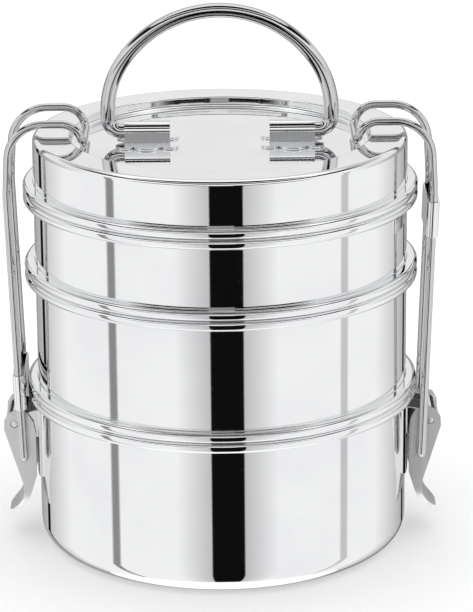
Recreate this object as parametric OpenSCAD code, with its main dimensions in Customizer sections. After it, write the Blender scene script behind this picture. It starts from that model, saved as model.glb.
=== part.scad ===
// Stacked lunch carrier in pressed steel sheet: three nesting round containers, a dished
// lid with a folding wire handle, and two side latches that clamp the stack.
// Origin at the centre of the base, +Z up. The latches lie along X, the handle turns on X.

/* [Containers] */
// Outer radius of the straight container walls
body_r = 62; // [52:1:75]
// Height of the bottom container, base to rim
bottom_h = 53.7; // [50:0.5:68]
// Rise of the middle container above the bottom container's rim
middle_h = 40.9; // [32:0.5:52]
// Rise of the top container above the middle container's rim
top_h = 26.8; // [20:0.5:36]
// Thickness of the pressed sheet
sheet = 0.8; // [0.6:0.1:1.2]
// Outer radius of the bottom container's base corner
base_corner_r = 7; // [4:0.5:9]

/* [Rims and nesting] */
// Height of the rolled rim at a container's mouth
rim_h = 3.5; // [2.5:0.1:4.5]
// Height of the pressed bead that sits on the rim below
bead_h = 3.2; // [2.4:0.1:4.2]
// How far rims and beads stand out from the wall
rim_out = 3.5; // [2.6:0.1:4.2]
// Depth of the step that drops into the container below
nest_depth = 7; // [4:0.5:10]
// Radial clearance between the step and the wall around it
nest_gap = 0.3; // [0.2:0.05:0.6]

/* [Lid] */
// Height of the lid's wall above the top container's rim
lid_h = 18.3; // [16:0.5:24]
// Radius of the lid's round top edge
lid_edge_r = 2; // [1:0.1:3]
// Width of the flat ring around the lid's dish
lid_ring_w = 12.5; // [9:0.5:14]
// Depth of the lid's dish
dish_depth = 3.5; // [2.5:0.1:5]

/* [Handle] */
// Diameter of the handle wire
handle_d = 4.9; // [4:0.1:6]
// Distance from the dish's wall to the handle wire's centre line
handle_inset = 12.7; // [11.5:0.1:16]
// Height of the handle's arch above its hinge line
handle_rise = 40.3; // [30:0.5:43]
// How far each shoulder's centre stands off the centre line
shoulder_inset = 6.8; // [4.8:0.2:12]
// Height of the crown above the arch's widest place
handle_crown_drop = 33.6; // [32.2:0.2:35]
// Radius of the bend into each bracket
handle_bend_r = 4.3; // [3.5:0.1:6]
// Height of the hinge line above the dish floor
handle_axis_h = 4.1; // [3.4:0.1:6]
// Radial clearance of the handle in its brackets
handle_fit = 0.06; // [0.03:0.01:0.1]
// Length of each bracket's saddle along the wire
saddle_l = 15; // [10:0.5:16]
// Distance from the handle wire's centre line to each bracket's outer end
saddle_inset = 5.4; // [4.8:0.2:7.8]

/* [Latches] */
// Diameter of the latch wire
bail_d = 2.7; // [2.2:0.1:3.2]
// Distance from the centre plane to each wire leg
leg_y = 11.7; // [11.2:0.1:13]
// Half of the lever's width across its cheeks
lever_half_w = 9.9; // [8:0.1:9.9]
// Thickness of the lever's and bracket's sheet
latch_sheet = 0.9; // [0.7:0.1:1.1]
// Distance of the lever's hinge below the bottom container's rim
pivot_drop = 12.3; // [10.7:0.2:15.7]
// Distance of the lever's hinge from the container's wall
pivot_out = 8; // [7.6:0.1:8.6]
// Diameter of the lever's hinge pin
pin_d = 2.5; // [2:0.1:3]
// Radial clearance of each turning joint in the latches
pivot_fit = 0.05; // [0.03:0.01:0.1]
// Height of the clip that slides on the latch wire
clip_h = 12; // [8:0.5:14]
// Thickness of the clip's sheet
clip_sheet = 0.6; // [0.5:0.1:0.8]
// Radial clearance of the clip on the wire
clip_fit = 0.08; // [0.05:0.01:0.1]
// Height of the left clip's lower end above its lever's hinge
clip_low_rise = 6.1; // [5.6:0.5:18.6]
// Distance of the right clip's lower end below the lid's top, slid up the wire
clip_high_drop = 33.2; // [32.7:0.5:49.7]

/* [Hidden] */
SIDES = ["left", "right"];
$fn = 96;

// Heights of the seams between the stacked pieces, and of the lid's top
seam_low = bottom_h;
seam_mid = seam_low + middle_h;
seam_top = seam_mid + top_h;
lid_top = seam_top + lid_h;
dish_r = body_r - lid_ring_w;
dish_floor = lid_top - dish_depth;

// Nesting step, inside the wall below it
step_r = body_r - sheet - nest_gap;
step_corner_r = 3;

// Handle
wire_r = handle_d / 2;
handle_half_w = dish_r - handle_inset;
handle_shoulder_r = handle_half_w - shoulder_inset;
saddle_outer_x = handle_half_w - saddle_inset;
hinge_z = dish_floor + handle_axis_h;
saddle_mid_x = saddle_outer_x - saddle_l / 2;

// Latch hinges: the lever's pin and, below it, the eye that holds the wire's ends
pivot_x = body_r + pivot_out;
lever_reach = 33.6;
// Never so low that the levers' tips reach what the carrier stands on
pivot_z = max(bottom_h - pivot_drop, lever_reach + 1.1);
eye_in = 3;
eye_drop = 11.8;
eye_x = pivot_x - eye_in;
eye_z = pivot_z - eye_drop;
bail_r = bail_d / 2;

// Where the wire's legs turn into the arch, and the hook that sits in the lid's dish
leg_lean = 3.2;
leg_top_x = eye_x + leg_lean;
leg_top_z = lid_top - 17.7;
arch_out_x = body_r + 6.9;
arch_z = lid_top + 5.9;
hook_gap = 1.35;
hook_x = dish_r - 5;
hook_z = dish_floor + bail_r + hook_gap;
clip_low_z = pivot_z + clip_low_rise;
clip_high_z = lid_top - clip_high_drop;
clip_lean = atan(leg_lean / (leg_top_z - eye_z));

steel = [0.80, 0.81, 0.82];
steel_dark = [0.70, 0.71, 0.72];
steel_wire = [0.76, 0.76, 0.77];

// ---------- shared shapes ----------

// Half section of a round pan, open upward, with a rounded corner at its base
module pan_half(r, z_low, z_high, corner) {
    translate([0, z_low + corner])
        square([r, z_high - z_low - corner]);
    translate([0, z_low])
        square([r - corner, z_high - z_low]);
    translate([r - corner, z_low + corner])
        circle(r = corner);
}

// Rounded rectangle from its low corner
module soft_rect(x, z, w, h, r) {
    translate([x + r, z])
        square([w - 2 * r, h]);
    translate([x, z + r])
        square([w, h - 2 * r]);
    for (cx = [x + r, x + w - r], cz = [z + r, z + h - r])
        translate([cx, cz])
            circle(r = r, $fn = 48);
}

// Section of a rolled rim whose flat top is at z
module rim_half(z, h) {
    soft_rect(body_r - sheet, z - h, rim_out + sheet, h, h * 0.45);
}

// Keeps the half section on the positive side of the axis and turns it round
module turned() {
    rotate_extrude($fn = 180)
        intersection() {
            children();
            square([2 * body_r, 4 * lid_top]);
        }
}

// Unit vector along v, and a vector with its part along v taken out
function unit(v) = v / norm(v);
function square_part(v, along) = unit(v - along * (v * along));

// Length that a bend of radius r takes off each straight beside vertex i
function setback(p, r, i) =
    r[i] * tan(acos(unit(p[i] - p[i - 1]) * unit(p[i + 1] - p[i])) / 2);

// Points of the bend at vertex i, one every step degrees or so
function bend_points(p, r, i, step) =
    let (u = unit(p[i] - p[i - 1]),
         w = unit(p[i + 1] - p[i]),
         n = square_part(w, u),
         bend = acos(u * w),
         count = max(1, ceil(bend / step)),
         centre = p[i] - u * setback(p, r, i) + n * r[i])
    [for (k = [0 : count])
        centre - n * (r[i] * cos(bend * k / count)) + u * (r[i] * sin(bend * k / count))];

// A route through the points p, with each inner corner bent to the radius in r
function bent_route(p, r, step) = concat(
    [p[0]],
    [for (i = [1 : len(p) - 2]) each bend_points(p, r, i, step)],
    [p[len(p) - 1]]);

// Round wire of radius wr swept along the route q, starting with a side facing first_side
module swept_wire(q, wr, sides, first_side) {
    last = len(q) - 1;
    along = [for (i = [0 : last]) unit(q[min(i + 1, last)] - q[max(i - 1, 0)])];
    across = [for (i = 0, n = square_part(first_side, along[0]);
                   i <= last;
                   i = i + 1, n = square_part(n, along[min(i, last)])) n];
    points = [for (i = [0 : last], k = [0 : sides - 1])
        q[i] + wr * (across[i] * cos(360 * k / sides)
                     + cross(along[i], across[i]) * sin(360 * k / sides))];
    skin = [for (i = [0 : last - 1], k = [0 : sides - 1])
        let (a = i * sides + k, b = i * sides + (k + 1) % sides)
        each [[a, b, b + sides], [a, b + sides, a + sides]]];
    start_cap = [[for (k = [0 : sides - 1]) k]];
    end_cap = [[for (k = [sides - 1 : -1 : 0]) last * sides + k]];
    polyhedron(points, concat([for (f = skin) [f[2], f[1], f[0]]], start_cap, end_cap));
}

// Draws a right-hand piece on the named side
module on_side(side) {
    mirror([side == "left" ? 1 : 0, 0, 0])
        children();
}

// ---------- containers and lid ----------

module bottom_container() {
    color(steel)
        turned()
            union() {
                difference() {
                    pan_half(body_r, 0, seam_low, base_corner_r);
                    pan_half(body_r - sheet, sheet, seam_low + 1, base_corner_r - sheet);
                }
                rim_half(seam_low, rim_h);
            }
}

// Container that nests on the one below: a stepped base, a bead and a rolled rim
module nested_container(z_seat, z_rim) {
    color(steel)
        turned()
            union() {
                difference() {
                    union() {
                        pan_half(step_r, z_seat - nest_depth, z_seat + sheet, step_corner_r);
                        translate([0, z_seat])
                            square([body_r, z_rim - z_seat]);
                        soft_rect(body_r - sheet, z_seat, rim_out + sheet, bead_h, bead_h * 0.45);
                    }
                    pan_half(step_r - sheet, z_seat - nest_depth + sheet, z_seat + 2 * sheet,
                             step_corner_r - sheet);
                    translate([0, z_seat + sheet])
                        square([body_r - sheet, z_rim - z_seat]);
                }
                rim_half(z_rim, rim_h);
            }
}

module middle_container() {
    nested_container(seam_low, seam_mid);
}

module top_container() {
    nested_container(seam_mid, seam_top);
}

// Ring and wall of the lid, with a rounded top edge
module lid_outer_half(r, z_low, z_high, edge) {
    translate([0, z_low])
        square([r, z_high - z_low - edge]);
    translate([0, z_low])
        square([r - edge, z_high - z_low]);
    translate([r - edge, z_high - edge])
        circle(r = edge, $fn = 64);
}

module lid() {
    step_low = seam_top - nest_depth;
    color(steel)
        turned()
            union() {
                difference() {
                    union() {
                        lid_outer_half(body_r, seam_top, lid_top, lid_edge_r);
                        soft_rect(body_r - sheet, seam_top, rim_out + sheet, bead_h, bead_h * 0.45);
                        translate([step_r - sheet, step_low])
                            square([sheet, nest_depth + sheet]);
                    }
                    lid_outer_half(body_r - sheet, seam_top + sheet, lid_top - sheet,
                                   lid_edge_r - sheet);
                    translate([0, step_low - 1])
                        square([step_r - sheet, nest_depth + 1 + 2 * sheet]);
                    translate([0, lid_top - 2 * sheet])
                        square([dish_r + sheet, 3 * sheet]);
                }
                // Dish wall, its bend into the ring, and its floor
                translate([dish_r, dish_floor - sheet])
                    square([sheet, dish_depth]);
                translate([dish_r + sheet, lid_top - sheet])
                    circle(r = sheet, $fn = 48);
                translate([0, dish_floor - sheet])
                    square([dish_r + sheet / 2, sheet]);
            }
}

// ---------- handle ----------

// Saddle that holds one end of the handle, with scalloped feet on the dish floor
module handle_bracket(side) {
    bore_r = wire_r + handle_fit;
    shell_r = bore_r + sheet;
    lobe_r = 3.1;
    mid_lobe_r = 4.6;
    foot_x = saddle_l / 2;
    foot_y = shell_r + 2.9;
    color(steel)
        on_side(side)
            translate([saddle_mid_x, 0, dish_floor])
                difference() {
                    union() {
                        linear_extrude(sheet) {
                            square([2 * foot_x, 2 * foot_y], center = true);
                            for (sx = [-1, 1], sy = [-1, 1])
                                translate([sx * (foot_x - 0.2), sy * foot_y])
                                    circle(r = lobe_r, $fn = 48);
                            for (sy = [-1, 1])
                                translate([0, sy * (foot_y + 0.6)])
                                    circle(r = mid_lobe_r, $fn = 64);
                        }
                        translate([-foot_x, 0, handle_axis_h])
                            rotate([0, 90, 0])
                                cylinder(r = shell_r, h = saddle_l, $fn = 72);
                        translate([-foot_x, -shell_r, 0])
                            cube([saddle_l, 2 * shell_r, handle_axis_h]);
                    }
                    translate([-foot_x - 5, 0, handle_axis_h])
                        rotate([0, 90, 0])
                            cylinder(r = bore_r, h = saddle_l + 10, $fn = 72);
                    translate([-foot_x - 5, -bore_r, -1])
                        cube([saddle_l + 10, 2 * bore_r, handle_axis_h + 1]);
                }
}

// Handle: an arch of two shoulders and a flatter crown, bent in to its two hinge ends
module handle() {
    side_x = handle_half_w - handle_shoulder_r;
    side_h = handle_rise - handle_crown_drop;
    // The crown's arc runs tangent into the shoulders'
    crown_r = (side_x * side_x + handle_crown_drop * handle_crown_drop
               - handle_shoulder_r * handle_shoulder_r)
              / (2 * (handle_crown_drop - handle_shoulder_r));
    crown_turn = atan(side_x / (crown_r - handle_crown_drop));
    step = 6;
    shoulder = [for (k = [0 : 10])
        let (t = (90 - crown_turn) * k / 10)
        [side_x + handle_shoulder_r * cos(t), side_h + handle_shoulder_r * sin(t)]];
    crown = [for (k = [1 : 5])
        let (t = 90 - crown_turn + crown_turn * k / 5)
        [crown_r * cos(t), handle_rise - crown_r + crown_r * sin(t)]];
    grip_end = saddle_outer_x - 2;
    foot = bend_points([[grip_end, 0, 0], [handle_half_w, 0, 0], [handle_half_w, 0, side_h]],
                       [0, handle_bend_r, 0], 1, step);
    right = concat([[grip_end, 0, 0]], foot, [for (q = concat(shoulder, crown)) [q[0], 0, q[1]]]);
    left = [for (i = [len(right) - 2 : -1 : 0]) [-right[i][0], 0, right[i][2]]];
    color(steel_wire)
        translate([0, 0, hinge_z]) {
            swept_wire(concat(right, left), wire_r - 0.01, 24, [0, 1, 0]);
            for (side = SIDES)
                on_side(side)
                    translate([saddle_outer_x - saddle_l, 0, 0])
                        rotate([0, 90, 0])
                            cylinder(r = wire_r, h = saddle_l - 1, $fn = 72);
        }
}

// ---------- latches, drawn on the right-hand side ----------

// Sleeve of thickness t lying on the body's wall
module wall_sleeve(t, z_low, z_high) {
    difference() {
        translate([0, 0, z_low])
            cylinder(r = body_r + t, h = z_high - z_low, $fn = 180);
        translate([0, 0, z_low - 1])
            cylinder(r = body_r, h = z_high - z_low + 2, $fn = 180);
    }
}

// Bracket on the wall: a curved back plate and two ears that hold the lever's pin
module latch_bracket(side) {
    plate_half_w = 12.5;
    plate_low = pivot_z - 18;
    plate_high = pivot_z + 6.5;
    ear_half_w = lever_half_w - latch_sheet - 0.3;
    ear_tip_r = pin_d / 2 + 1.9;
    ear = [[-pivot_out - 3, 5], [-1, ear_tip_r], [-1, -ear_tip_r], [-pivot_out - 3, -6]];
    color(steel_dark)
        on_side(side) {
            intersection() {
                wall_sleeve(latch_sheet, plate_low, plate_high);
                translate([body_r / 2, -plate_half_w, plate_low])
                    cube([body_r, 2 * plate_half_w, plate_high - plate_low]);
            }
            difference() {
                for (y = [latch_sheet - ear_half_w, ear_half_w])
                    translate([pivot_x, y, pivot_z])
                        rotate([90, 0, 0])
                            linear_extrude(latch_sheet) {
                                polygon(ear);
                                circle(r = ear_tip_r, $fn = 64);
                            }
                translate([0, 0, plate_low - 1])
                    cylinder(r = body_r, h = plate_high - plate_low + 2, $fn = 180);
                translate([pivot_x, lever_half_w + 1, pivot_z])
                    rotate([90, 0, 0])
                        cylinder(d = pin_d, h = 2 * lever_half_w + 2, $fn = 48);
            }
        }
}

module lever_pin(side) {
    color(steel_dark)
        on_side(side)
            translate([pivot_x, lever_half_w, pivot_z])
                rotate([90, 0, 0])
                    cylinder(d = pin_d, h = 2 * lever_half_w, $fn = 48);
}

// Extrudes an XZ outline to plus and minus y
module cheek_block(points, y) {
    translate([pivot_x, y, pivot_z])
        rotate([90, 0, 0])
            linear_extrude(2 * y)
                polygon(points);
}

// Lever: a channel with its web outward, tapering to a curled thumb tongue.
// Outlines are distances from its hinge: outward, then up.
module lever(side) {
    back = -7.1;
    tip_out = 2.7;
    tip_drop = 32.8;
    neck = [-2.3, -21];
    shoulder = [3.6, -1.9];
    tongue = [[-2.7, -24], [-2.2, -27], [-0.3, -30], [tip_out, -tip_drop]];
    underside = [[tip_out - 0.5, -tip_drop - 0.8], [-1.3, -31.6], [-3.7, -28.6],
                 [-5.3, -24.2], [back, -18.4]];
    crown = [[back, -3.4], [-6.4, 0.6], [-4.4, 3.8], [-0.9, 5], [1.9, 3.8], [3.4, 1.4]];
    outline = concat([shoulder, neck], tongue, underside, crown);
    inside = concat([[20, 20], [20, -1.9], shoulder - [latch_sheet, 0], neck - [latch_sheet, 0]],
                    [for (q = tongue) q - [latch_sheet * 1.05, latch_sheet * 0.35]],
                    [[tip_out - 1, -tip_drop - 6], [-20, -tip_drop - 6], [-20, 20]]);
    tongue_z = pivot_z - tip_drop - 0.8 + lever_half_w;
    color(steel_dark)
        on_side(side)
            difference() {
                intersection() {
                    cheek_block(outline, lever_half_w);
                    union() {
                        translate([body_r / 2, -lever_half_w, tongue_z])
                            cube([body_r, 2 * lever_half_w, 2 * tip_drop]);
                        translate([body_r / 2, 0, tongue_z])
                            rotate([0, 90, 0])
                                cylinder(r = lever_half_w, h = body_r, $fn = 96);
                    }
                }
                cheek_block(inside, lever_half_w - latch_sheet);
                for (hole = [[pivot_x, pivot_z, pin_d / 2 + pivot_fit],
                             [eye_x, eye_z, bail_r + pivot_fit]])
                    translate([hole[0], lever_half_w + 1, hole[1]])
                        rotate([90, 0, 0])
                            cylinder(r = hole[2], h = 2 * lever_half_w + 2, $fn = 48);
            }
}

// Wire bail: two legs from the lever's eyes, arched over the lid into one closed hook
module bail(side) {
    end_y = lever_half_w - latch_sheet;
    stub_l = leg_y - end_y - 0.6;
    corners = [[eye_x, eye_z], [leg_top_x, leg_top_z], [arch_out_x, arch_z],
               [hook_x + 2.9, arch_z], [hook_x, hook_z]];
    bends = [1.6, 24, 12, 7, 2.6];
    last = len(corners) - 1;
    stub = [[eye_x, end_y + 0.4, eye_z]];
    leg = [for (c = corners) [c[0], leg_y, c[1]]];
    other = [for (i = [last : -1 : 0]) [leg[i][0], -leg_y, leg[i][2]]];
    route = bent_route(
        concat(stub, leg, other, [[eye_x, -end_y - 0.4, eye_z]]),
        concat([0], bends, [for (i = [last : -1 : 0]) bends[i]], [0]), 10);
    color(steel_wire)
        on_side(side) {
            swept_wire(route, bail_r - 0.01, 14, [0, 0, 1]);
            for (s = [-1, 1])
                translate([eye_x, s * (end_y + stub_l / 2), eye_z])
                    rotate([90, 0, 0])
                        cylinder(r = bail_r, h = stub_l, center = true, $fn = 48);
        }
}

// Flat tube that slides on the bail's legs and keeps them parallel
module wire_clip(side, z_low) {
    inner_r = bail_r + clip_fit;
    outer_r = inner_r + clip_sheet;
    module slot(r, h) {
        for (s = [-1, 1])
            translate([0, s * leg_y, 0])
                cylinder(r = r, h = h, $fn = 48);
        translate([-r, -leg_y, 0])
            cube([2 * r, 2 * leg_y, h]);
    }
    color(steel)
        on_side(side)
            translate([eye_x, 0, eye_z])
                rotate([0, clip_lean, 0])
                    translate([0, 0, z_low - eye_z])
                        difference() {
                            slot(outer_r, clip_h);
                            translate([0, 0, -1])
                                slot(inner_r, clip_h + 2);
                        }
}

bottom_container();
middle_container();
top_container();
lid();
handle_bracket("left");  // handle_bracket_left
handle_bracket("right");  // handle_bracket_right
handle();
latch_bracket("left");  // latch_bracket_left
latch_bracket("right");  // latch_bracket_right
lever_pin("left");  // lever_pin_left
lever_pin("right");  // lever_pin_right
lever("left");  // lever_left
lever("right");  // lever_right
bail("left");  // bail_left
bail("right");  // bail_right
wire_clip("left", clip_low_z);  // wire_clip_left
wire_clip("right", clip_high_z);  // wire_clip_right
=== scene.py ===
import math
import bmesh
import bpy
from mathutils import Matrix, Vector


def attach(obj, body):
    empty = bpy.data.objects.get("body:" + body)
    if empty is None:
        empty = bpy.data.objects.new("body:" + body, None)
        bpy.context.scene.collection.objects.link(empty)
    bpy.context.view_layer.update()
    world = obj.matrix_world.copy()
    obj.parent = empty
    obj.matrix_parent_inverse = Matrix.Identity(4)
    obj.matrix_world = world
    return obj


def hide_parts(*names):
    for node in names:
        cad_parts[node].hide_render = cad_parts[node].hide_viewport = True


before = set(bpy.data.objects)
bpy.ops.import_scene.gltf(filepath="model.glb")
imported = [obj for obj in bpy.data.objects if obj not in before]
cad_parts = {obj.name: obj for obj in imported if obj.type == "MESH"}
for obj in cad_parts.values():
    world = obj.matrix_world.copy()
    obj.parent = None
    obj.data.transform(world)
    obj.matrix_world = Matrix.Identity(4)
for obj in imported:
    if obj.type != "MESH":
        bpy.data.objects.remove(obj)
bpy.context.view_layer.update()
MM = 0.001

# Sizes of the carrier in millimetres, as built in the CAD
BODY_R = 62.0
SHEET = 0.8
SEAMS = (53.7, 94.6, 121.4)
LID_TOP = 139.7
DISH_FLOOR = 136.2
DISH_R = 49.5
RIM_H = 3.5
RIM_ROUND = 1.575
BEAD_H = 3.2
BEAD_ROUND = 1.44
RIM_R = 65.5
STEP_R = 60.9
NEST = 7.0
BASE_ROUND = 7
HANDLE_Z = 140.3
HANDLE_HALF = 36.8
HANDLE_FOOT = 17
HANDLE_RISE = 40.3
HANDLE_WIRE_R = 2.44
LEG_Y = 11.7
EYE_X = 67.0
EYE_Z = 29.6
EYE_END_Y = 9.05
LATCH_WIRE_R = 1.34
SIDES = {"left": -1.0, "right": 1.0}

# Heights in metres at which the studio's cloth changes
CLOTH_FOOT = -0.6
WALLS_TOP = 0.035
SIDES_TOP = 0.2
CARD_TOP = 0.262
HIGH_FOOT = 0.42
HIGH_TOP = 0.64
CLOTH_TOP = 0.78
CLOTH_SEAM = 0.002

# Share of the light that a polished pan sends back
PAN_REFLECTS = 0.862

CAMERA_PLACE = (0, -1.0037, 0.3975)
CAMERA_PITCH = 17.59
CAMERA_YAW = 0.290
CAMERA_ROLL = -0.449


# ---------- materials ----------

def display(level):
    """Scene brightness that shows as this share of white."""
    return level ** 2.2


def steel(name, tone, smooth, rough, round_lines=False, scratches=0.35, relief=0.03):
    """Bare stainless steel with polish lines, fine scratches and haze."""
    mat = bpy.data.materials.new(name)
    mat.use_nodes = True
    nodes = mat.node_tree.nodes
    links = mat.node_tree.links
    shader = nodes["Principled BSDF"]
    shader.inputs["Metallic"].default_value = 1.0
    shader.inputs["IOR"].default_value = 2.5
    place = nodes.new("ShaderNodeTexCoord").outputs["Object"]

    def math_node(kind, a, b):
        node = nodes.new("ShaderNodeMath")
        node.operation = kind
        for socket, value in zip(node.inputs, (a, b)):
            if isinstance(value, (int, float)):
                socket.default_value = value
            else:
                links.new(value, socket)
        return node.outputs[0]

    def stretched(vector, scale):
        node = nodes.new("ShaderNodeMapping")
        node.inputs["Scale"].default_value = scale
        links.new(vector, node.inputs["Vector"])
        return node.outputs["Vector"]

    def noise(vector, scale, detail):
        node = nodes.new("ShaderNodeTexNoise")
        node.inputs["Scale"].default_value = scale
        node.inputs["Detail"].default_value = detail
        links.new(vector, node.inputs["Vector"])
        return node.outputs["Fac"]

    def between(value, low, high, out_low, out_high):
        node = nodes.new("ShaderNodeMapRange")
        for socket, number in zip(node.inputs[1:5], (low, high, out_low, out_high)):
            socket.default_value = number
        links.new(value, node.inputs[0])
        return node.outputs[0]

    if round_lines:
        # Lines run round the axis on walls and on flat rings alike
        split = nodes.new("ShaderNodeSeparateXYZ")
        links.new(place, split.inputs[0])
        square = math_node("ADD", math_node("POWER", split.outputs[0], 2.0),
                           math_node("POWER", split.outputs[1], 2.0))
        across = math_node("ADD", math_node("SQRT", square, 0.0), split.outputs[2])
        joined = nodes.new("ShaderNodeCombineXYZ")
        links.new(split.outputs[0], joined.inputs[0])
        links.new(split.outputs[1], joined.inputs[1])
        links.new(across, joined.inputs[2])
        along = stretched(joined.outputs[0], (12.0, 12.0, 5200.0))
    else:
        along = stretched(place, (900.0, 900.0, 60.0))
    lines = noise(along, 1.0, 3.0)
    haze = noise(place, 42.0, 4.0)
    marks = noise(stretched(place, (2600.0, 70.0, 420.0)), 1.0, 2.0)
    scratch = between(marks, 0.68, 0.76, 0.0, scratches)

    polish = between(lines, 0.3, 0.7, smooth, rough)
    cloud = between(haze, 0.35, 0.75, 0.75, 1.45)
    worn = math_node("ADD", math_node("MULTIPLY", polish, cloud),
                     math_node("MULTIPLY", scratch, 0.16))
    links.new(worn, shader.inputs["Roughness"])

    colour = nodes.new("ShaderNodeMix")
    colour.data_type = "RGBA"
    colour.inputs["A"].default_value = (tone[0], tone[1], tone[2], 1.0)
    colour.inputs["B"].default_value = (tone[0] * 0.9, tone[1] * 0.9, tone[2] * 0.92, 1.0)
    links.new(between(haze, 0.4, 0.8, 0.0, 0.7), colour.inputs["Factor"])
    links.new(colour.outputs["Result"], shader.inputs["Base Color"])

    bump = nodes.new("ShaderNodeBump")
    bump.inputs["Strength"].default_value = relief
    bump.inputs["Distance"].default_value = 0.00004
    links.new(math_node("ADD", lines, scratch), bump.inputs["Height"])
    links.new(bump.outputs["Normal"], shader.inputs["Normal"])
    return mat


PAN = steel("pan_polished", (0.86, 0.865, 0.87), 0.018, 0.035, round_lines=True, relief=0.02)
WIRE = steel("wire_polished", (0.62, 0.62, 0.625), 0.04, 0.09, relief=0.05)
BRACKET = steel("bracket_bright", (0.86, 0.865, 0.87), 0.03, 0.06, scratches=0.1, relief=0.02)
LEVER = steel("lever_satin", (0.85, 0.85, 0.855), 0.28, 0.4, scratches=0.6, relief=0.12)


# ---------- mesh tools ----------

def placed(name, data):
    obj = bpy.data.objects.new(name, data)
    bpy.context.collection.objects.link(obj)
    return obj


def made(name, verts, faces, mat, sharp_deg=35.0):
    mesh = bpy.data.meshes.new(name)
    bm = bmesh.new()
    points = [bm.verts.new(v) for v in verts]
    for face in faces:
        bm.faces.new([points[i] for i in face])
    bmesh.ops.recalc_face_normals(bm, faces=bm.faces)
    bm.to_mesh(mesh)
    bm.free()
    mesh.polygons.foreach_set("use_smooth", [True] * len(mesh.polygons))
    mesh.set_sharp_from_angle(angle=math.radians(sharp_deg))
    mesh.materials.append(mat)
    return placed(name, mesh)


def filleted(corners):
    """Points of a section whose corners (r, z, fillet) are rounded and held by close points."""
    out = [Vector(corners[0][:2])]
    for before, here, after in zip(corners, corners[1:], corners[2:]):
        p = Vector(here[:2])
        u = (Vector(before[:2]) - p).normalized()
        w = (Vector(after[:2]) - p).normalized()
        turn = math.pi - u.angle(w)
        fillet = here[2]
        cut = fillet * math.tan(turn / 2)
        centre = p + (u + w).normalized() * (fillet / math.cos(turn / 2))
        start = p + u * cut
        end = p + w * cut
        count = max(3, round(math.degrees(turn) / 7))
        out.append(start + u * 0.08)
        a = start - centre
        b = end - centre
        for k in range(count + 1):
            t = k / count
            mixed = (a * math.sin((1 - t) * turn) + b * math.sin(t * turn)) / math.sin(turn)
            out.append(centre + mixed)
        out.append(end + w * 0.08)
    out.append(Vector(corners[-1][:2]))
    return out


def lathe(name, corners, mat, segments=320):
    """Turns a section round the Z axis; the section starts and ends on the axis."""
    section = filleted(corners)
    inner = section[1:-1]
    verts = [Vector((0, 0, section[0].y)) * MM]
    for p in inner:
        for k in range(segments):
            a = 2 * math.pi * k / segments
            verts.append(Vector((p.x * math.cos(a), p.x * math.sin(a), p.y)) * MM)
    verts.append(Vector((0, 0, section[-1].y)) * MM)
    last = len(verts) - 1
    faces = []
    for k in range(segments):
        n = (k + 1) % segments
        faces.append((0, 1 + n, 1 + k))
        low = 1 + (len(inner) - 1) * segments
        faces.append((last, low + k, low + n))
        for i in range(len(inner) - 1):
            a = 1 + i * segments
            b = a + segments
            faces.append((a + k, a + n, b + n, b + k))
    return made(name, verts, faces, mat)


def bent(points, radii, step_deg=3.0):
    """A route through the points with each inner corner bent to its radius."""
    out = [points[0]]
    for i in range(1, len(points) - 1):
        u = (points[i] - points[i - 1]).normalized()
        w = (points[i + 1] - points[i]).normalized()
        turn = u.angle(w)
        n = (w - u * w.dot(u)).normalized()
        centre = points[i] - u * radii[i] * math.tan(turn / 2) + n * radii[i]
        count = max(2, math.ceil(math.degrees(turn) / step_deg))
        for k in range(count + 1):
            t = turn * k / count
            out.append(centre - n * radii[i] * math.cos(t) + u * radii[i] * math.sin(t))
    out.append(points[-1])
    return out


def tube(name, route, radius, mat, sides=32):
    """Round wire swept along a route, its two ends slightly rounded."""
    ends = [route[0]] + route + [route[-1]]
    rings = []
    across = None
    for i, p in enumerate(route):
        along = (ends[i + 2] - ends[i]).normalized()
        if across is None:
            across = along.orthogonal()
        across = (across - along * across.dot(along)).normalized()
        other = along.cross(across)
        rings.append((p, across.copy(), other, radius))
    first = rings[0]
    final = rings[-1]
    rings[0] = (first[0], first[1], first[2], radius * 0.86)
    rings.insert(1, (first[0] + (route[1] - route[0]).normalized() * 0.2,
                     first[1], first[2], radius))
    rings[-1] = (final[0] + (route[-2] - route[-1]).normalized() * 0.2,
                 final[1], final[2], radius)
    rings.append((final[0], final[1], final[2], radius * 0.86))
    verts = []
    for p, a, b, r in rings:
        for k in range(sides):
            t = 2 * math.pi * k / sides
            verts.append((p + a * r * math.cos(t) + b * r * math.sin(t)) * MM)
    faces = []
    for i in range(len(rings) - 1):
        for k in range(sides):
            n = (k + 1) % sides
            faces.append((i * sides + k, i * sides + n,
                          (i + 1) * sides + n, (i + 1) * sides + k))
    faces.append(tuple(range(sides)))
    faces.append(tuple((len(rings) - 1) * sides + k for k in reversed(range(sides))))
    return made(name, verts, faces, mat)


def softened(node, width, mat, name):
    """A copy of a pressed CAD piece with its cut edges rounded over."""
    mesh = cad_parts[node].data.copy()
    mesh.name = name
    bm = bmesh.new()
    bm.from_mesh(mesh)
    bmesh.ops.remove_doubles(bm, verts=bm.verts, dist=0.000002)
    bmesh.ops.dissolve_limit(bm, angle_limit=math.radians(0.5), verts=bm.verts, edges=bm.edges)
    bm.to_mesh(mesh)
    bm.free()
    mesh.materials.clear()
    mesh.materials.append(mat)
    mesh.polygons.foreach_set("use_smooth", [True] * len(mesh.polygons))
    obj = placed(name, mesh)
    edge = obj.modifiers.new("edge", "BEVEL")
    edge.width = width * MM
    edge.segments = 3
    edge.limit_method = "ANGLE"
    edge.angle_limit = math.radians(38)
    even = obj.modifiers.new("even", "WEIGHTED_NORMAL")
    even.mode = "FACE_AREA_WITH_ANGLE"
    even.weight = 90
    return obj


def stands_for(obj, node, body):
    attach(obj, body)
    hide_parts(node)


# ---------- containers and lid ----------

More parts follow.
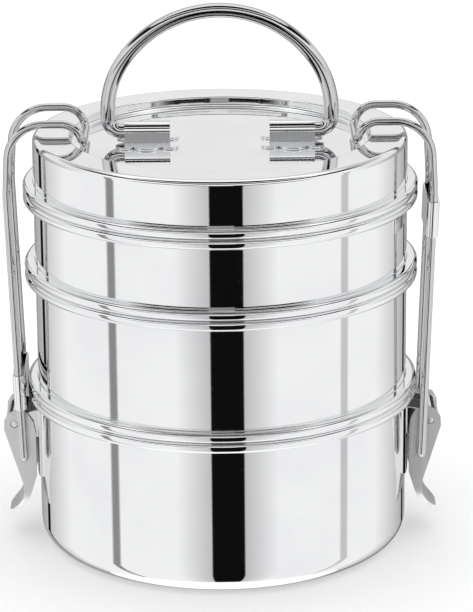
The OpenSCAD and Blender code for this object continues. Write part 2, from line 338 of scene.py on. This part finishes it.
def rim(z):
    """Corners of a rolled rim with its flat top at z, from the outside of the wall inward."""
    return [(BODY_R, z - RIM_H, 0.25), (RIM_R, z - RIM_H, RIM_ROUND),
            (RIM_R, z, RIM_ROUND), (BODY_R - SHEET, z, RIM_ROUND)]


def nested(name, seat, top):
    """A container whose stepped base sits in the one below."""
    corners = [(0, seat - NEST, 0), (STEP_R, seat - NEST, 3), (STEP_R, seat, 0.2),
               (RIM_R, seat, BEAD_ROUND), (RIM_R, seat + BEAD_H, BEAD_ROUND),
               (BODY_R, seat + BEAD_H, 0.25)]
    corners += rim(top)
    corners += [(BODY_R - SHEET, seat + SHEET, 0.3), (STEP_R - SHEET, seat + SHEET, 0.3),
                (STEP_R - SHEET, seat - NEST + SHEET, 2.2), (0, seat - NEST + SHEET, 0)]
    return lathe(name, corners, PAN)


bottom_corners = [(0, 0, 0), (BODY_R, 0, BASE_ROUND)] + rim(SEAMS[0])
bottom_corners += [(BODY_R - SHEET, SHEET, BASE_ROUND - SHEET), (0, SHEET, 0)]
stands_for(lathe("bottom_pan", bottom_corners, PAN), "bottom_container", "carrier")
stands_for(nested("middle_pan", SEAMS[0], SEAMS[1]), "middle_container", "carrier")
stands_for(nested("top_pan", SEAMS[1], SEAMS[2]), "top_container", "carrier")

lid_inner = BODY_R - SHEET
lid_corners = [
    (0, DISH_FLOOR, 0), (DISH_R, DISH_FLOOR, 1.4), (DISH_R, LID_TOP, 0.8), (BODY_R, LID_TOP, 2),
    (BODY_R, SEAMS[2] + BEAD_H, 0.25), (RIM_R, SEAMS[2] + BEAD_H, BEAD_ROUND),
    (RIM_R, SEAMS[2], BEAD_ROUND), (STEP_R, SEAMS[2], 0.2), (STEP_R, SEAMS[2] - NEST, 0.2),
    (STEP_R - SHEET, SEAMS[2] - NEST, 0.2), (STEP_R - SHEET, SEAMS[2] + SHEET, 0.2),
    (lid_inner, SEAMS[2] + SHEET, 0.2), (lid_inner, LID_TOP - SHEET, 1.2),
    (DISH_R + SHEET, LID_TOP - SHEET, 0.2), (DISH_R + SHEET, DISH_FLOOR - SHEET, 0.3),
    (0, DISH_FLOOR - SHEET, 0)]
stands_for(lathe("dished_lid", lid_corners, PAN), "lid", "carrier")


# ---------- handle ----------

def handle_route():
    """The handle upright: feet in the brackets, two round shoulders and a flatter crown."""
    shoulder_r = 30.0
    shoulder_x = HANDLE_HALF - shoulder_r
    shoulder_z = 6.7
    drop = HANDLE_RISE - shoulder_z
    crown_r = (shoulder_x ** 2 + drop ** 2 - shoulder_r ** 2) / (2 * (drop - shoulder_r))
    crown_turn = math.atan(shoulder_x / (crown_r - drop))
    foot = bent([Vector((HANDLE_FOOT, 0, 0)), Vector((HANDLE_HALF, 0, 0)),
                 Vector((HANDLE_HALF, 0, shoulder_z))], [0, 4.3, 0])
    half = list(foot)
    for k in range(1, 19):
        t = (math.pi / 2 - crown_turn) * k / 18
        half.append(Vector((shoulder_x + shoulder_r * math.cos(t), 0,
                            shoulder_z + shoulder_r * math.sin(t))))
    for k in range(1, 21):
        t = math.pi / 2 - crown_turn + crown_turn * k / 20
        half.append(Vector((crown_r * math.cos(t), 0,
                            HANDLE_RISE - crown_r + crown_r * math.sin(t))))
    other = [Vector((-p.x, 0, p.z)) for p in reversed(half[:-1])]
    return [p + Vector((0, 0, HANDLE_Z)) for p in half + other]


handle = tube("handle_wire", handle_route(), HANDLE_WIRE_R, WIRE, 40)
stands_for(handle, "handle", "handle")
for side in SIDES:
    saddle = softened(f"handle_bracket_{side}", 0.22, BRACKET, f"saddle_{side}")
    stands_for(saddle, f"handle_bracket_{side}", "carrier")


# ---------- latches ----------

def bail_route(sign):
    """From one lever eye up a leg, over the lid's edge into its dish, and back down."""
    corners = [(EYE_X, EYE_Z), (70.2, 122.0), (68.9, 145.6), (47.4, 145.6), (44.5, 138.9)]
    bends = [1.6, 24, 12, 7, 2.6]
    near = [Vector((sign * x, LEG_Y, z)) for x, z in corners]
    far = [Vector((p.x, -p.y, p.z)) for p in reversed(near)]
    start = Vector((sign * EYE_X, EYE_END_Y, EYE_Z))
    end = Vector((sign * EYE_X, -EYE_END_Y, EYE_Z))
    return bent([start] + near + far + [end], [0] + bends + bends[::-1] + [0])


for side, sign in SIDES.items():
    wire = tube(f"bail_wire_{side}", bail_route(sign), LATCH_WIRE_R, WIRE)
    stands_for(wire, f"bail_{side}", f"{side}_bail")
    lever = softened(f"lever_{side}", 0.25, LEVER, f"lever_channel_{side}")
    stands_for(lever, f"lever_{side}", f"{side}_lever")
    plate = softened(f"latch_bracket_{side}", 0.22, BRACKET, f"hinge_plate_{side}")
    stands_for(plate, f"latch_bracket_{side}", "carrier")
    pin = softened(f"lever_pin_{side}", 0.45, BRACKET, f"hinge_pin_{side}")
    stands_for(pin, f"lever_pin_{side}", "carrier")
    clip = softened(f"wire_clip_{side}", 0.16, BRACKET, f"clip_sleeve_{side}")
    stands_for(clip, f"wire_clip_{side}", f"{side}_clip")


# ---------- studio ----------

def ramp(value, start, end, first, last):
    """Runs from first to last as value goes from start to end."""
    t = min(1.0, max(0.0, (value - start) / (end - start)))
    return first + (last - first) * t


def wall_level(azimuth):
    """What the upright walls see: white cloth fading to the rear, with dark upright flags."""
    level = ramp(abs(azimuth - 3), 9, 34, 0.74, 0.985)
    level = min(level, ramp(abs(azimuth), 66, 68, 1.0, 0.94))
    level = min(level, ramp(abs(azimuth), 104, 156, 0.94, 0.6))
    flags = ((3, 9, 0.085, 0.7), (-66, 1.9, 0.54, 1.5), (76, 1.9, 0.76, 1.5),
             (-137, 2.2, 0.1, 0.7), (149, 2.2, 0.1, 0.7))
    for centre, half, shade, soft in flags:
        level = ramp(abs(azimuth - centre), half, half + soft, min(level, shade), level)
    return level


def tent_level(azimuth, height):
    """Brightness the steel sees in this direction of the studio."""
    away = abs(azimuth)
    if height < WALLS_TOP:
        return wall_level(azimuth)
    if height < SIDES_TOP:
        return min(wall_level(azimuth), ramp(away, 84, 130, 0.94, 0.6))
    if height < CARD_TOP:
        # A light gap in the middle keeps the handle brackets' front faces bright
        return max(ramp(away, 7, 8.5, 0.6, 0.04), ramp(away, 36, 56, 0.04, 0.89))
    if height < HIGH_FOOT:
        return ramp(away, 84, 92, 0.98, 0.89)
    if height < HIGH_TOP:
        return ramp(away, 80, 120, 0.1, 0.75)
    return ramp(away, 84, 92, 1.0, 0.9)


def studio_only(obj):
    """Seen only in reflections."""
    obj.visible_camera = False
    obj.visible_diffuse = False
    obj.visible_shadow = False
    obj.visible_transmission = False


def emitter(name):
    """A material that only gives light, and the socket for its colour."""
    mat = bpy.data.materials.new(name)
    mat.use_nodes = True
    nodes = mat.node_tree.nodes
    nodes.remove(nodes["Principled BSDF"])
    light = nodes.new("ShaderNodeEmission")
    mat.node_tree.links.new(light.outputs[0], nodes["Material Output"].inputs["Surface"])
    return mat, light.inputs["Color"]


def studio_tent(radius=0.45, columns=1440):
    steps = (WALLS_TOP, SIDES_TOP, CARD_TOP, HIGH_FOOT, HIGH_TOP)
    heights = [z + d for z in steps for d in (-CLOTH_SEAM, CLOTH_SEAM)]
    heights = [CLOTH_FOOT] + heights + [CLOTH_TOP]
    verts = []
    levels = []
    faces = []
    for k in range(columns):
        azimuth = -180 + 360 * k / columns
        a = math.radians(azimuth)
        for h in heights:
            verts.append((radius * math.sin(a), -radius * math.cos(a), h))
            levels.append(display(tent_level(azimuth, h)) / PAN_REFLECTS)
    rows = len(heights)
    for k in range(columns):
        n = (k + 1) % columns
        for i in range(rows - 1):
            faces.append((k * rows + i, n * rows + i, n * rows + i + 1, k * rows + i + 1))
    mesh = bpy.data.meshes.new("studio_tent")
    mesh.from_pydata(verts, [], faces)
    shade = mesh.color_attributes.new("shade", "FLOAT_COLOR", "POINT")
    for item, level in zip(shade.data, levels):
        item.color = (level, level, level, 1.0)
    cloth, colour = emitter("tent_cloth")
    painted = cloth.node_tree.nodes.new("ShaderNodeAttribute")
    painted.attribute_name = "shade"
    cloth.node_tree.links.new(painted.outputs["Color"], colour)
    cloth.cycles.emission_sampling = "NONE"
    mesh.materials.append(cloth)
    studio_only(placed("studio_tent", mesh))


def pale_floor():
    mat = bpy.data.materials.new("pale_floor")
    mat.use_nodes = True
    shader = mat.node_tree.nodes["Principled BSDF"]
    shader.inputs["Base Color"].default_value = (0.96, 0.96, 0.96, 1.0)
    shader.inputs["Roughness"].default_value = 0.8
    mesh = bpy.data.meshes.new("floor")
    mesh.from_pydata([(-8, -8, 0), (8, -8, 0), (8, 8, 0), (-8, 8, 0)], [], [(0, 1, 2, 3)])
    mesh.materials.append(mat)
    obj = placed("floor", mesh)
    obj.visible_glossy = False


def dark_ceiling(radius=0.46):
    """The dark front half of the ceiling, which draws a fine line along every rounded edge."""
    angles = [math.radians(t) for t in range(188, 353, 4)]
    outline = [(radius * math.cos(a), radius * math.sin(a), CLOTH_TOP) for a in angles]
    mesh = bpy.data.meshes.new("dark_ceiling")
    mesh.from_pydata(outline, [], [tuple(range(len(outline)))])
    mat, colour = emitter("dark_ceiling")
    colour.default_value = (0.006, 0.006, 0.006, 1.0)
    mesh.materials.append(mat)
    studio_only(placed("dark_ceiling", mesh))


studio_tent()
pale_floor()
dark_ceiling()

world = bpy.data.worlds.new("soft_white")
world.use_nodes = True
background = world.node_tree.nodes["Background"]
background.inputs["Color"].default_value = (1.0, 1.0, 1.0, 1.0)
background.inputs["Strength"].default_value = 1.2
bpy.context.scene.world = world

pitch = math.radians(CAMERA_PITCH)
yaw = math.radians(CAMERA_YAW)
roll = math.radians(CAMERA_ROLL)
forward = Vector((math.sin(yaw) * math.cos(pitch), math.cos(yaw) * math.cos(pitch),
                  -math.sin(pitch)))
flat_right = Vector((math.cos(yaw), -math.sin(yaw), 0))
flat_up = flat_right.cross(forward)
cam_right = flat_right * math.cos(roll) + flat_up * math.sin(roll)
cam_up = flat_up * math.cos(roll) - flat_right * math.sin(roll)
lens = bpy.data.cameras.new("camera")
lens.sensor_width = 24.0
lens.lens = 122.9
lens.clip_start = 0.05
lens.clip_end = 30.0
camera = placed("camera", lens)
turn = Matrix((cam_right, cam_up, -forward)).transposed()
camera.matrix_world = Matrix.Translation(CAMERA_PLACE) @ turn.to_4x4()
bpy.context.scene.camera = camera
bpy.context.scene.view_settings.view_transform = "Standard"

bpy.context.view_layer.update()
